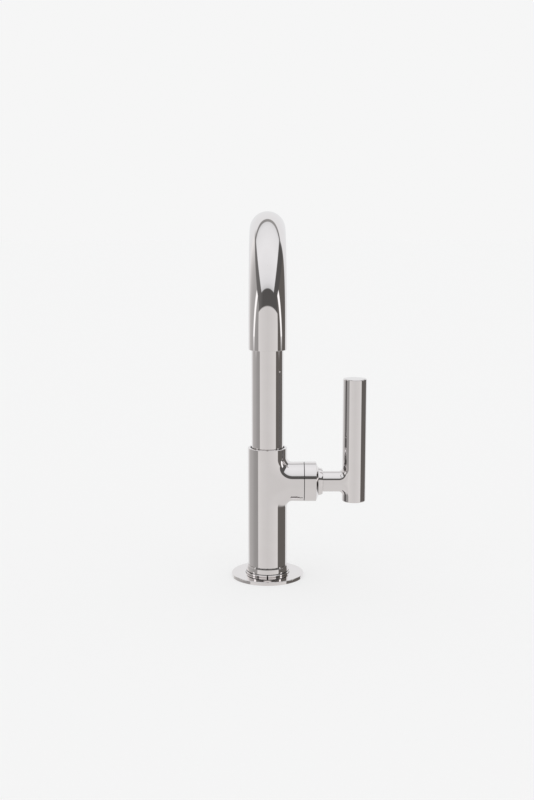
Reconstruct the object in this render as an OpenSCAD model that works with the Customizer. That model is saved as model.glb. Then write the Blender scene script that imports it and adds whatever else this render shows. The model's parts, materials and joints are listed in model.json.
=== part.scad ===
// Single-hole lavatory faucet: a tee body on a round deck plate, a swivelling
// gooseneck spout towards -Y and a side lever with a ball joint towards +X.
// Millimetres, +Z up. The origin is on the deck, on the axis of the body.

/* [Deck plate and base ring] */
// Diameter of the deck plate
flange_d = 58; // [50:0.5:70]
// Thickness of the deck plate
flange_t = 2.8; // [2.4:0.1:5]
// Radius of the rounded top edge of the deck plate
flange_edge_r = 1.3; // [0.3:0.1:2]
// Diameter of the plate's raised collar
collar_d = 34.9; // [33:0.1:42]
// Height of the collar above the plate
collar_h = 2; // [1:0.1:4]
// Width of the chamfer round the top of the collar
collar_chamfer = 0.6; // [0.1:0.1:1]
// Diameter of the ring between the collar and the body
ring_d = 34.1; // [33:0.1:42]
// Height of that ring
ring_h = 5; // [3:0.1:14]
// Width of the chamfer under the ring, where it meets the collar
ring_chamfer = 0.3; // [0.1:0.1:1]
// Height of the steep chamfer round the ring's top edge
ring_bevel_h = 0.8; // [0.2:0.1:1.5]
// Mean diameter of the rubber seal under the plate
deck_seal_d = 44; // [40:0.5:45]
// Width of the rubber seal
deck_seal_w = 5; // [2:0.5:6]
// Thickness of the rubber seal
deck_seal_t = 1.5; // [0.8:0.1:1.8]

/* [Body] */
// Diameter of the upright body
body_d = 31.5; // [31:0.1:34]
// Height of the top rim of the body above the deck
body_top_z = 106; // [102.6:0.1:125]
// Diameter of the spigot that centres the ring and the plate
spigot_d = 26; // [25.5:0.1:29]
// Chamfer round the top rim
rim_chamfer = 0.5; // [0.1:0.1:1]
// Diameter of the side hub at its end
hub_d = 31.8; // [31.6:0.1:33]
// Depth of the hub's axis below the top rim
hub_drop = 28; // [26:0.1:34]
// Distance from the body's axis to the end of the hub
hub_len = 29.3; // [28.5:0.1:40]
// Radius of the fillet between body and hub, seen from the front
hub_fillet_r = 4.2; // [2:0.1:7]

/* [Inlets and fixing] */
// Bore of the two hose inlets, M10 fine thread
inlet_bore_d = 9; // [8:0.1:9.2]
// Depth of the hose inlets
inlet_depth = 12; // [8:0.5:20]
// Spacing of the two inlets
inlet_spacing = 13.6; // [12.5:0.1:14]
// Offset of the inlets towards the lever side
inlet_offset = 3; // [1:0.1:3.5]
// Bore of the fixing stud's hole, M8 thread
stud_bore_d = 6.8; // [5:0.1:7]
// Depth of the stud's hole
stud_depth = 14; // [8:0.5:20]
// Distance of the stud from the body's axis
stud_offset = 8; // [7.5:0.1:8.6]
// Diameter of the supply waterways
supply_d = 5.6; // [3:0.1:5.8]
// Diameter of the mixed waterway
mixed_d = 6; // [4:0.1:6.4]

/* [Spout] */
// Outside diameter of the gooseneck tube
tube_d = 25.4; // [23:0.1:26]
// Wall of the tube
tube_wall = 1; // [0.8:0.1:1.2]
// Radius of the arch along the tube's centreline
arch_r = 70; // [45:1:110]
// Height of the centre of the arch above the body's rim
arch_rise = 102.6; // [45:0.2:200]
// Length of the straight leg above the outlet
leg_len = 9.1; // [7.3:0.1:60]
// How deep the tube's foot sits in the body's rim
socket_lip = 3; // [2:0.1:4]
// Diameter of the shank that turns in the body
shank_d = 18; // [17:0.1:18.2]
// Length of the shank below the tube
shank_len = 17; // [16.5:0.1:18.5]
// Bore of the shank
shank_bore_d = 10; // [7:0.1:10.5]
// Length of the shank's plug inside the tube
plug_len = 12; // [6:0.5:30]
// Thickness of the O-rings on the shank
shank_seal_t = 2; // [1.6:0.1:2.2]
// Swing of the spout to each side, in degrees
swing_angle = 60; // [30:5:80]
// Thickness of the glide ring under the tube
glide_t = 0.8; // [0.5:0.1:1.5]

/* [Aerator] */
// Height of the threaded bush in the outlet
bush_h = 6.4; // [6:0.1:6.8]
// Wall of the bush
bush_wall = 1.4; // [1:0.1:2]
// How far the bush is set back inside the outlet
bush_inset = 0.6; // [0.3:0.1:0.8]
// Wall of the aerator's shell
aerator_wall = 1.1; // [0.8:0.1:1.5]
// Thickness of the outlet grille
grille_t = 1; // [0.6:0.1:1.2]
// Diameter of the grille's holes
grille_hole_d = 2; // [1:0.1:2.2]
// Spacing of the grille's holes
grille_pitch = 2.7; // [2.5:0.1:3.5]

/* [Cartridge] */
// Diameter of the cartridge
cartridge_d = 25; // [24:0.1:25.2]
// Distance from the body's axis to the cartridge's seat
seat_x = 10.5; // [10.2:0.1:11]
// Wall of the cartridge's housing
housing_wall = 1; // [0.8:0.1:1.1]
// Thickness of the cartridge's floor
floor_t = 2.2; // [1.8:0.1:2.6]
// Thickness of the fixed ceramic disc
fixed_disc_t = 2.5; // [2:0.1:2.8]
// Thickness of the moving ceramic disc
moving_disc_t = 2.5; // [2:0.1:2.8]
// Diameter of the moving disc and its carrier
moving_disc_d = 16.3; // [15.5:0.1:16.3]
// Thickness of the disc carrier
carrier_t = 3.5; // [3:0.1:3.8]
// Thickness of the rotor's flange
rotor_flange_t = 2.1; // [1.6:0.1:2.4]
// Diameter of the rotor's neck
rotor_neck_d = 16; // [15:0.1:16.4]
// Diameter of the clamp nut's thread
nut_d = 26.8; // [26.4:0.1:27.4]
// Diameter of the stem
stem_d = 6; // [5:0.1:6.2]
// Distance from the stem's pivot to its foot
stem_foot_len = 17.9; // [17.6:0.1:18.2]
// Diameter of the pivot pin
pin_d = 2.4; // [1.6:0.1:2.6]
// Travel of the lever from shut to full flow, in degrees
flow_angle = 20; // [10:1:20]

/* [Bonnet and lever] */
// Distance from the body's axis to the straight end of the bonnet
bonnet_shoulder_x = 39.2; // [36:0.1:39.5]
// Distance from the body's axis to the bonnet's mouth
bonnet_mouth_x = 40.6; // [39.9:0.1:41]
// Distance from the body's axis to the centre of the lever's ball
pivot_x = 39.5; // [39.3:0.1:40]
// Diameter of the lever's ball
ball_d = 22.6; // [22:0.1:23]
// Wall of the hollow ball
ball_wall = 1.7; // [1.2:0.1:2]
// Distance from the ball's centre to its front face
ball_front = 5.9; // [5.8:0.1:7]
// Distance from the ball's centre to its rear rim
ball_rear = 5.5; // [5:0.1:6]
// Diameter of the arm
arm_d = 16.5; // [14:0.1:17]
// Distance from the body's axis to the handle's axis
handle_x = 69.5; // [65:0.5:90]
// Diameter of the handle
handle_d = 19.05; // [18:0.05:24]
// Reach of the handle below the arm's axis
handle_drop = 16; // [12:0.1:24]
// Reach of the handle above the arm's axis
handle_rise = 83.5; // [45:0.1:120]
// Radius of the handle's rounded ends
handle_edge_r = 1; // [0.3:0.1:3]
// Radius of the fillet between arm and handle, seen from the front
handle_fillet_r = 2.8; // [1:0.1:4]

/* [Hidden] */
// overrun of every cut past the face that it opens
cut = 1;
// play of threads, plugs and rings that are screwed, pressed or soldered together
seated = 0.05;
// play of turned faces that run on each other
running = 0.08;
// play along an axis between parts that slide
end_play = 0.03;
// play of parts that pass without touching
free_play = 0.2;
// play of the ball in the bonnet
ball_play = 0.5;
// depth by which a blend bites into the post and the pipe that it joins
bend_bite = 0.02;

flange_r = flange_d / 2;
flange_bore_r = spigot_d / 2 + seated;
ring_low_z = flange_t + collar_h;
ring_top_z = ring_low_z + ring_h;
ring_bevel_share = 0.5;
body_r = body_d / 2;
hub_r = hub_d / 2;
hub_z = body_top_z - hub_drop;
arch_z = body_top_z + arch_rise;
handle_low_z = hub_z - handle_drop;
handle_top_z = hub_z + handle_rise;
tube_r = tube_d / 2;
tube_bore_r = tube_r - tube_wall;

socket_floor_z = body_top_z - socket_lip;
tube_foot_z = socket_floor_z + glide_t + end_play;
shank_low_z = socket_floor_z - shank_len;
shank_r = shank_d / 2;
shank_pocket_r = shank_r + running;
shank_pocket_z = shank_low_z - free_play;
shank_seal_r = shank_seal_t / 2;
seal_groove_r = shank_pocket_r - shank_seal_t - seated;
seal_groove_w = shank_seal_t + 2 * seated;
seal_margin_share = 1.6;
upper_seal_z = socket_floor_z - seal_margin_share * shank_seal_t;
lower_seal_z = shank_low_z + seal_margin_share * shank_seal_t;
lock_z = (upper_seal_z + lower_seal_z) / 2;
lock_screw_d = 4;
lock_tip_d = 2.6;
lock_recess = 1;
lock_groove_depth = 1.5;
lock_groove_r = shank_r - lock_groove_depth;
lock_groove_w = lock_tip_d + 2 * free_play;
// half the angle of the swivel groove: the swing, and the tip's own width
lock_half_angle = swing_angle + asin((lock_tip_d / 2 + free_play) / lock_groove_r);

outlet_z = arch_z - leg_len;
outlet_y = -2 * arch_r;
bush_r = tube_bore_r - seated;
bush_bore_r = bush_r - bush_wall;
bush_low_z = outlet_z + bush_inset;
aerator_r = bush_bore_r - seated;
aerator_bore_r = aerator_r - aerator_wall;
aerator_lip = aerator_wall / 2;
washer_t = 0.6;
aerator_h = bush_h - washer_t;
core_t = aerator_h / 2;
core_z = bush_low_z + aerator_h - core_t;

cartridge_r = cartridge_d / 2;
cartridge_bore_r = cartridge_r + seated;
housing_bore_r = cartridge_r - housing_wall;
port_seal_squash = 0.3;
floor_x = seat_x + port_seal_squash;
housing_x = floor_x + floor_t;
floor_lip = 1.5;
fixed_disc_x = housing_x + floor_lip;
moving_disc_x = fixed_disc_x + fixed_disc_t + end_play;
carrier_x = moving_disc_x + moving_disc_t;
rotor_x = carrier_x + carrier_t + free_play;
housing_wall_x = rotor_x + rotor_flange_t + free_play;
housing_front_t = 2;
housing_shoulder_x = housing_wall_x + housing_front_t;
housing_collar_t = 2;
housing_collar_h = 2.2;
housing_end_x = housing_shoulder_x + housing_collar_h;
rotor_neck_r = rotor_neck_d / 2;
collar_bore_r = rotor_neck_r + running;
collar_r = collar_bore_r + housing_collar_t;
nut_r = nut_d / 2;
nut_thread_len = 7;
nut_x = hub_len - nut_thread_len;
nut_reach = 4.2;
nut_end_x = hub_len + nut_reach;
nut_lip_x = housing_end_x + free_play;
nut_slot_w = 4;
fixed_disc_r = housing_bore_r - seated;
moving_disc_r = moving_disc_d / 2;
rotor_flange_r = housing_bore_r - free_play;

// the stem leans back by half its travel when shut
stem_lean = flow_angle / 2;
foot_drop = stem_foot_len * sin(stem_lean);
stem_r = stem_d / 2;
foot_r = 1.8;
foot_neck_r = 1.4;
stem_taper_share = 0.45;
stem_taper_at = stem_foot_len * stem_taper_share;
stem_top_len = 13;
fork_end_r = 2.9;
fork_wall = 2.3;
fork_slot_r = stem_r + running;
fork_r = fork_slot_r + fork_wall;
pin_r = pin_d / 2;
pin_len = 2 * fork_r - 2 * free_play;
neck_slot_h = 4.6;
flange_slot_h = 5.5;
rotor_seal_r = 0.75;
rotor_seal_x = housing_wall_x + housing_front_t / 2;

inlet_port_r = 2;
inlet_port_y = 4;
inlet_port_z = 1.4;
outlet_port_r = 2.6;
outlet_port_z = -4.6;
port_seal_w = 0.9;
port_pocket_depth = 1;
chamber_w = 11;
chamber_h = 7;
chamber_depth = 1.5;

ball_r = ball_d / 2;
ball_bore_r = ball_r - ball_wall;
ball_cavity_front = 3.3;
// where the sphere ends and the front shoulder starts, from the ball's centre
ball_shoulder = 4.6;
// how far the shoulder leans outwards between the sphere and the arm
ball_step = 0.2;
arm_r = arm_d / 2;
arm_x = pivot_x + ball_front;
handle_r = handle_d / 2;
bonnet_bore_r = nut_r + seated;
mouth_r = ball_r + ball_play;
// the thread in the bonnet ends past the nut, then it narrows to the mouth
bonnet_thread_x = nut_end_x + free_play;
bonnet_throat_x = bonnet_thread_x + (bonnet_bore_r - mouth_r);
set_screw_d = 4;
set_screw_len = 4;
set_screw_at = 9.6;
hex_share = 0.5;
hex_depth_share = 0.45;

stud_x = -stud_offset;
inlet_y = inlet_spacing / 2;

arch_fn = 180;
round_fn = 96;
small_fn = 48;

// Turns a shape drawn along +Z to lie along +X on the hub's axis
module on_hub(x = 0) {
    translate([x, 0, hub_z]) rotate([0, 90, 0]) children();
}

// Disc or ring along +X on the hub's axis
module hub_ring(x, length, outer_r, inner_r = 0) {
    on_hub(x) difference() {
        cylinder(h = length, r = outer_r, $fn = round_fn);
        if (inner_r > 0)
            translate([0, 0, -cut])
                cylinder(h = length + 2 * cut, r = inner_r, $fn = round_fn);
    }
}

// Round ring along +Z, standing at height z
module flat_ring(z, height, outer_r, inner_r) {
    translate([0, 0, z]) difference() {
        cylinder(h = height, r = outer_r, $fn = round_fn);
        translate([0, 0, -cut])
            cylinder(h = height + 2 * cut, r = inner_r, $fn = round_fn);
    }
}

// Round rubber ring of mean radius r about +Z
module o_ring(r, section_r) {
    rotate_extrude($fn = round_fn) translate([r, 0]) circle(r = section_r, $fn = small_fn);
}

// Places its children at each port of the cartridge: shut side inlets, then the outlet
module at_inlet_ports() {
    for (side = [-1, 1])
        translate([0, side * inlet_port_y, hub_z + inlet_port_z]) rotate([0, 90, 0]) children();
}

module at_outlet_port() {
    translate([0, 0, hub_z + outlet_port_z]) rotate([0, 90, 0]) children();
}

// Places its children at the lever's pivot, turned so that +Z lies along the leaning stem
module along_stem() {
    translate([pivot_x, 0, hub_z]) rotate([0, 90 - stem_lean, 0]) children();
}

// Blend of an upright post with a level pipe along +X, no thicker than the post: the inner
// half of a quarter bend, with a flat web that fills its corner
module tee_bend(post_r, pipe_r, fillet_r) {
    bend_r = pipe_r + fillet_r;
    reach = post_r + fillet_r;
    section_r = pipe_r - bend_bite;
    intersection() {
        translate([reach, 0, bend_r]) rotate([90, 0, 0]) rotate([0, 0, 180])
            rotate_extrude(angle = 90, $fn = round_fn) {
                intersection() {
                    translate([bend_r, 0]) circle(r = section_r, $fn = round_fn);
                    translate([0, -section_r]) square([bend_r, 2 * section_r]);
                }
                translate([bend_r, -section_r]) square([bend_r / 2, 2 * section_r]);
            }
        translate([0, -pipe_r, 0]) cube([reach + cut, 2 * pipe_r, bend_r + cut]);
    }
}

// The blend above the pipe and its mirror image below
module tee_bends(post_r, pipe_r, fillet_r) {
    for (flip = [0, 1])
        mirror([0, 0, flip]) tee_bend(post_r, pipe_r, fillet_r);
}

// Upright cylinder with rounded ends
module round_ended_rod(low, high, r, edge_r) {
    translate([0, 0, low]) rotate_extrude($fn = round_fn) union() {
        translate([0, edge_r]) square([r, high - low - 2 * edge_r]);
        square([r - edge_r, high - low]);
        for (z = [edge_r, high - low - edge_r])
            translate([r - edge_r, z]) circle(r = edge_r, $fn = small_fn);
    }
}

// Hexagon key socket, cut downwards from the origin
module hex_socket(width, depth) {
    translate([0, 0, -depth]) cylinder(h = depth + cut, d = width, $fn = 6);
}

// Round plate on the deck with a raised collar, and a groove for its seal
module escutcheon_flange() {
    collar_r = collar_d / 2;
    color("silver") difference() {
        rotate_extrude($fn = round_fn) difference() {
            union() {
                square([flange_r, flange_t - flange_edge_r]);
                square([flange_r - flange_edge_r, flange_t]);
                translate([flange_r - flange_edge_r, flange_t - flange_edge_r])
                    circle(r = flange_edge_r, $fn = small_fn);
                polygon([
                    [0, 0], [collar_r, 0], [collar_r, ring_low_z - collar_chamfer],
                    [collar_r - collar_chamfer, ring_low_z], [0, ring_low_z]
                ]);
            }
            translate([-cut, -flange_t]) square([2 * flange_d, flange_t]);
        }
        translate([0, 0, -cut]) cylinder(h = ring_low_z + 2 * cut, r = flange_bore_r, $fn = round_fn);
        translate([0, 0, -cut])
            flat_ring(0, deck_seal_t + cut, deck_seal_d / 2 + deck_seal_w / 2 + seated,
                      deck_seal_d / 2 - deck_seal_w / 2 - seated);
    }
}

module deck_seal() {
    color("dimgray")
        flat_ring(0, deck_seal_t, deck_seal_d / 2 + deck_seal_w / 2, deck_seal_d / 2 - deck_seal_w / 2);
}

// Ring that lifts the body off the plate
module base_ring() {
    outer = ring_d / 2;
    color("silver") rotate_extrude($fn = round_fn)
        polygon([
            [flange_bore_r, ring_low_z], [outer - ring_chamfer, ring_low_z],
            [outer, ring_low_z + ring_chamfer], [outer, ring_top_z - ring_bevel_h],
            [outer - ring_bevel_share * ring_bevel_h, ring_top_z], [flange_bore_r, ring_top_z]
        ]);
}

// Outer form of the body, with no bores
module body_form() {
    bend_r = body_r + hub_fillet_r;
    rotate_extrude($fn = round_fn)
        polygon([
            [0, 0], [spigot_d / 2, 0], [spigot_d / 2, ring_top_z], [body_r, ring_top_z],
            [body_r, body_top_z - rim_chamfer], [body_r - rim_chamfer, body_top_z], [0, body_top_z]
        ]);
    hub_ring(0, bend_r, body_r);
    on_hub(bend_r) cylinder(h = hub_len - bend_r, r1 = body_r, r2 = hub_r, $fn = round_fn);
    translate([0, 0, hub_z]) tee_bends(body_r, body_r, hub_fillet_r);
}

// Waterways from the inlets to the cartridge's seat, and from there up to the spout
module body_waterways() {
    supply_r = supply_d / 2;
    inlet_top_z = hub_z + inlet_port_z;
    for (side = [-1, 1]) translate([inlet_offset, side * inlet_y, 0]) {
        translate([0, 0, -cut]) cylinder(h = inlet_depth + cut, d = inlet_bore_d, $fn = small_fn);
        cylinder(h = inlet_top_z + inlet_port_r, r = supply_r, $fn = small_fn);
    }
    translate([inlet_offset, 0, 0]) at_inlet_ports()
        cylinder(h = seat_x - inlet_offset + cut, r = inlet_port_r, $fn = small_fn);
    at_outlet_port() cylinder(h = seat_x + cut, r = outlet_port_r, $fn = small_fn);
    translate([0, 0, hub_z + outlet_port_z])
        cylinder(h = shank_pocket_z + cut - hub_z - outlet_port_z, d = mixed_d, $fn = small_fn);
    translate([stud_x, 0, -cut]) cylinder(h = stud_depth + cut, d = stud_bore_d, $fn = small_fn);
}

// Bores that take the spout's shank, the cartridge and its nut, and the lock screw
module body_seats() {
    translate([0, 0, shank_pocket_z])
        cylinder(h = body_top_z - shank_pocket_z + cut, r = shank_pocket_r, $fn = round_fn);
    translate([0, 0, socket_floor_z])
        cylinder(h = socket_lip + cut, r = tube_r + running, $fn = round_fn);
    hub_ring(seat_x, hub_len - seat_x + cut, cartridge_bore_r);
    hub_ring(nut_x - free_play, hub_len - nut_x + free_play + cut, nut_r + seated);
    translate([0, lock_groove_r, lock_z]) rotate([-90, 0, 0])
        cylinder(h = body_r, d = lock_screw_d + 2 * seated, $fn = small_fn);
}

// Brass tee: upright body with the hub for the cartridge
module faucet_body() {
    color("silver") difference() {
        body_form();
        body_waterways();
        body_seats();
    }
}

// Grub screw in the back of the body, its tip in the spout's groove
module spout_lock_screw() {
    thread_y = shank_pocket_r + free_play;
    end_y = body_r - lock_recess;
    hex_w = lock_screw_d * hex_share;
    color("gray") translate([0, 0, lock_z]) rotate([-90, 0, 0]) difference() {
        union() {
            translate([0, 0, lock_groove_r + free_play])
                cylinder(h = end_y - lock_groove_r - free_play, d = lock_tip_d, $fn = small_fn);
            translate([0, 0, thread_y])
                cylinder(h = end_y - thread_y, d = lock_screw_d, $fn = small_fn);
        }
        translate([0, 0, end_y]) hex_socket(hex_w, (end_y - thread_y) * hex_depth_share);
    }
}

// Cap nut round the ball
module cartridge_bonnet() {
    color("silver") on_hub() rotate_extrude($fn = round_fn)
        polygon([
            [bonnet_bore_r, hub_len], [hub_r, hub_len], [hub_r, bonnet_shoulder_x],
            [mouth_r, bonnet_mouth_x], [mouth_r, bonnet_throat_x],
            [bonnet_bore_r, bonnet_thread_x]
        ]);
}

// Clamp nut: its lip holds the cartridge, its outer end carries the bonnet
module cartridge_nut() {
    color("goldenrod") difference() {
        on_hub() rotate_extrude($fn = round_fn)
            polygon([
                [cartridge_bore_r - housing_wall, housing_shoulder_x], [nut_r, housing_shoulder_x],
                [nut_r, nut_end_x], [mouth_r, nut_end_x], [mouth_r, nut_lip_x],
                [collar_r + seated, nut_lip_x], [collar_r + seated, housing_shoulder_x]
            ]);
        for (turn = [0, 90])
            translate([nut_end_x, 0, hub_z]) rotate([turn, 0, 0])
                cube([nut_end_x - nut_lip_x, nut_slot_w, 2 * nut_d], center = true);
    }
}

// Plastic can of the cartridge, open at its floor
module cartridge_housing() {
    color("white") on_hub() rotate_extrude($fn = round_fn)
        polygon([
            [housing_bore_r, housing_x], [cartridge_r, housing_x],
            [cartridge_r, housing_shoulder_x], [collar_r, housing_shoulder_x],
            [collar_r, housing_end_x], [collar_bore_r, housing_end_x],
            [collar_bore_r, housing_wall_x], [housing_bore_r, housing_wall_x]
        ]);
}

// Floor of the cartridge, with the three ports and pockets for their seals
module cartridge_base() {
    color("white") difference() {
        union() {
            hub_ring(floor_x, floor_t, cartridge_r);
            hub_ring(housing_x, floor_lip, housing_bore_r - seated);
        }
        translate([floor_x - cut, 0, 0]) {
            through = floor_t + floor_lip + 2 * cut;
            pocket = port_pocket_depth + cut;
            at_inlet_ports() {
                cylinder(h = through, r = inlet_port_r, $fn = small_fn);
                cylinder(h = pocket, r = inlet_port_r + port_seal_w + seated, $fn = small_fn);
            }
            at_outlet_port() {
                cylinder(h = through, r = outlet_port_r, $fn = small_fn);
                cylinder(h = pocket, r = outlet_port_r + port_seal_w + seated, $fn = small_fn);
            }
        }
    }
}

module port_seal(r) {
    difference() {
        cylinder(h = port_seal_squash + port_pocket_depth, r = r + port_seal_w, $fn = small_fn);
        translate([0, 0, -cut])
            cylinder(h = port_seal_squash + port_pocket_depth + 2 * cut, r = r, $fn = small_fn);
    }
}

// Three rubber rings between the seat and the cartridge's floor
module port_seals() {
    color("dimgray") translate([seat_x, 0, 0]) {
        at_inlet_ports() port_seal(inlet_port_r);
        at_outlet_port() port_seal(outlet_port_r);
    }
}

// Ceramic disc with the ports
module fixed_disc() {
    color("ivory") difference() {
        hub_ring(fixed_disc_x, fixed_disc_t, fixed_disc_r);
        translate([fixed_disc_x - cut, 0, 0]) {
            at_inlet_ports() cylinder(h = fixed_disc_t + 2 * cut, r = inlet_port_r, $fn = small_fn);
            at_outlet_port() cylinder(h = fixed_disc_t + 2 * cut, r = outlet_port_r, $fn = small_fn);
        }
    }
}

// Ceramic disc that slides up to open, with the chamber that joins the ports
module moving_disc() {
    color("ivory") translate([0, 0, -foot_drop]) difference() {
        hub_ring(moving_disc_x, moving_disc_t, moving_disc_r);
        translate([moving_disc_x - cut, -chamber_w / 2, hub_z - chamber_h])
            cube([chamber_depth + cut, chamber_w, chamber_h]);
    }
}

// Slider behind the moving disc, with the pocket for the stem's foot
module disc_carrier() {
    color("white") translate([0, 0, -foot_drop]) difference() {
        hub_ring(carrier_x, carrier_t, moving_disc_r - seated);
        hub_ring(pivot_x - stem_foot_len - foot_r - running, carrier_t + cut, foot_r + running);
    }
}

// Rotor: flange in the housing, neck in its collar, fork for the stem
module cartridge_rotor() {
    neck_end_x = housing_end_x + free_play;
    color("white") difference() {
        union() {
            hub_ring(rotor_x, rotor_flange_t, rotor_flange_r);
            hub_ring(rotor_x, neck_end_x - rotor_x, rotor_neck_r);
            for (side = [-1, 1]) {
                translate([neck_end_x - housing_collar_t, side * (fork_slot_r + fork_wall / 2), hub_z])
                    translate([0, -fork_wall / 2, -fork_end_r])
                        cube([pivot_x - neck_end_x + housing_collar_t, fork_wall, 2 * fork_end_r]);
                translate([pivot_x, side * (fork_slot_r + fork_wall / 2), hub_z])
                    rotate([90, 0, 0])
                        cylinder(h = fork_wall, r = fork_end_r, center = true, $fn = small_fn);
            }
        }
        translate([rotor_x - cut, -fork_slot_r, hub_z - flange_slot_h])
            cube([rotor_flange_t + cut, 2 * fork_slot_r, 2 * flange_slot_h]);
        translate([rotor_x, -fork_slot_r, hub_z - neck_slot_h])
            cube([neck_end_x - rotor_x + cut, 2 * fork_slot_r, 2 * neck_slot_h]);
        translate([pivot_x, 0, hub_z]) rotate([90, 0, 0])
            cylinder(h = 2 * fork_r + 2 * cut, r = pin_r + seated, center = true, $fn = small_fn);
        hub_ring(rotor_seal_x - rotor_seal_r - seated, 2 * rotor_seal_r + 2 * seated,
                 rotor_neck_r + cut, rotor_neck_r - 2 * rotor_seal_r - seated);
    }
}

module rotor_seal() {
    color("dimgray") on_hub(rotor_seal_x) o_ring(rotor_neck_r - rotor_seal_r, rotor_seal_r);
}

// Pin that the stem tilts on, held in the rotor's fork
module stem_pin() {
    color("gray") translate([pivot_x, 0, hub_z]) rotate([90, 0, 0])
        cylinder(h = pin_len, r = pin_r, center = true, $fn = small_fn);
}

// Stem: foot in the carrier, pivot in the fork, round top in the lever's bore
module cartridge_stem() {
    color("gray") difference() {
        along_stem() {
            translate([0, 0, -stem_foot_len]) sphere(r = foot_r, $fn = small_fn);
            rotate_extrude($fn = small_fn)
                polygon([
                    [0, -stem_foot_len], [foot_neck_r, -stem_foot_len],
                    [foot_neck_r, -stem_foot_len + 2 * foot_r], [stem_r, -stem_taper_at],
                    [stem_r, stem_top_len], [0, stem_top_len]
                ]);
        }
        translate([pivot_x, 0, hub_z]) rotate([90, 0, 0])
            cylinder(h = stem_d + 2 * cut, r = pin_r + running, center = true, $fn = small_fn);
    }
}

// Bore for the stem through the ball's front and into the arm
module stem_bore() {
    along_stem() cylinder(h = stem_top_len + free_play, r = stem_r + seated, $fn = small_fn);
}

// Hollow ball at the root of the lever
module lever_ball() {
    shoulder_r = sqrt(ball_r * ball_r - ball_shoulder * ball_shoulder);
    color("silver") difference() {
        on_hub(pivot_x) intersection() {
            sphere(r = ball_r, $fn = round_fn);
            rotate_extrude($fn = round_fn)
                polygon([
                    [0, -ball_rear], [ball_r + cut, -ball_rear], [ball_r + cut, ball_shoulder],
                    [shoulder_r, ball_shoulder], [arm_r, ball_shoulder + ball_step],
                    [arm_r, ball_front], [0, ball_front]
                ]);
        }
        on_hub(pivot_x) intersection() {
            sphere(r = ball_bore_r, $fn = round_fn);
            translate([0, 0, -ball_r])
                cylinder(h = ball_r + ball_cavity_front, r = ball_r, $fn = round_fn);
        }
        stem_bore();
    }
}

// Upright round handle with its arm, filleted where they meet
module lever_handle() {
    color("silver") difference() {
        union() {
            hub_ring(arm_x, handle_x - arm_x, arm_r);
            translate([handle_x, 0, 0])
                round_ended_rod(handle_low_z, handle_top_z, handle_r, handle_edge_r);
            translate([handle_x, 0, hub_z]) mirror([1, 0, 0])
                tee_bends(handle_r, arm_r, handle_fillet_r);
        }
        stem_bore();
        along_stem() translate([0, 0, set_screw_at]) rotate([0, 90, 0])
            cylinder(h = arm_d, d = set_screw_d + 2 * seated, $fn = small_fn);
    }
}

// Grub screw under the arm, tight on the stem
module lever_set_screw() {
    color("gray") along_stem() translate([0, 0, set_screw_at]) rotate([0, 90, 0])
        translate([0, 0, stem_r + seated]) difference() {
            cylinder(h = set_screw_len, d = set_screw_d, $fn = small_fn);
            translate([0, 0, set_screw_len])
                hex_socket(set_screw_d * hex_share, set_screw_len * hex_depth_share);
        }
}

// Path of the gooseneck as a solid rod of radius r, from its foot to its outlet
module gooseneck_rod(r, extra = 0) {
    translate([0, 0, tube_foot_z - extra]) cylinder(h = arch_z - tube_foot_z + extra, r = r, $fn = round_fn);
    translate([0, -arch_r, arch_z]) rotate([90, 0, 90])
        rotate_extrude(angle = 180, $fn = arch_fn) translate([arch_r, 0]) circle(r = r, $fn = round_fn);
    translate([0, outlet_y, outlet_z - extra]) cylinder(h = leg_len + extra, r = r, $fn = round_fn);
}

// Gooseneck tube
module spout_tube() {
    color("silver") difference() {
        gooseneck_rod(tube_r);
        gooseneck_rod(tube_bore_r, cut);
    }
}

// Brass plug in the tube's foot, with the shank that turns in the body
module spout_shank() {
    plug_r = tube_bore_r - seated;
    color("goldenrod") difference() {
        rotate_extrude($fn = round_fn)
            polygon([
                [shank_bore_d / 2, shank_low_z], [shank_r, shank_low_z],
                [shank_r, lower_seal_z - seal_groove_w / 2],
                [seal_groove_r, lower_seal_z - seal_groove_w / 2],
                [seal_groove_r, lower_seal_z + seal_groove_w / 2],
                [shank_r, lower_seal_z + seal_groove_w / 2],
                [shank_r, upper_seal_z - seal_groove_w / 2],
                [seal_groove_r, upper_seal_z - seal_groove_w / 2],
                [seal_groove_r, upper_seal_z + seal_groove_w / 2],
                [shank_r, upper_seal_z + seal_groove_w / 2],
                [shank_r, tube_foot_z], [plug_r, tube_foot_z], [plug_r, tube_foot_z + plug_len],
                [shank_bore_d / 2, tube_foot_z + plug_len]
            ]);
        translate([0, 0, lock_z - lock_groove_w / 2]) rotate([0, 0, 90 - lock_half_angle])
            rotate_extrude(angle = 2 * lock_half_angle, $fn = round_fn)
                translate([lock_groove_r, 0]) square([shank_r - lock_groove_r + cut, lock_groove_w]);
    }
}

module shank_seal(z) {
    color("dimgray") translate([0, 0, z]) o_ring(shank_r + running - seated - shank_seal_r, shank_seal_r);
}

module shank_seal_upper() {
    shank_seal(upper_seal_z);
}

module shank_seal_lower() {
    shank_seal(lower_seal_z);
}

// Plastic ring that carries the tube's foot
module glide_ring() {
    color("white") flat_ring(socket_floor_z + end_play, glide_t, tube_r, shank_r + seated);
}

// Threaded bush soldered into the outlet
module outlet_bush() {
    color("goldenrod") translate([0, outlet_y, 0]) flat_ring(bush_low_z, bush_h, bush_r, bush_bore_r);
}

// Screw-in shell of the aerator
module aerator_shell() {
    color("white") translate([0, outlet_y, 0]) rotate_extrude($fn = round_fn)
        polygon([
            [aerator_bore_r - aerator_lip, bush_low_z], [aerator_r, bush_low_z],
            [aerator_r, bush_low_z + aerator_h], [aerator_bore_r, bush_low_z + aerator_h],
            [aerator_bore_r, bush_low_z + aerator_lip], [aerator_bore_r - aerator_lip, bush_low_z + aerator_lip]
        ]);
}

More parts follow.
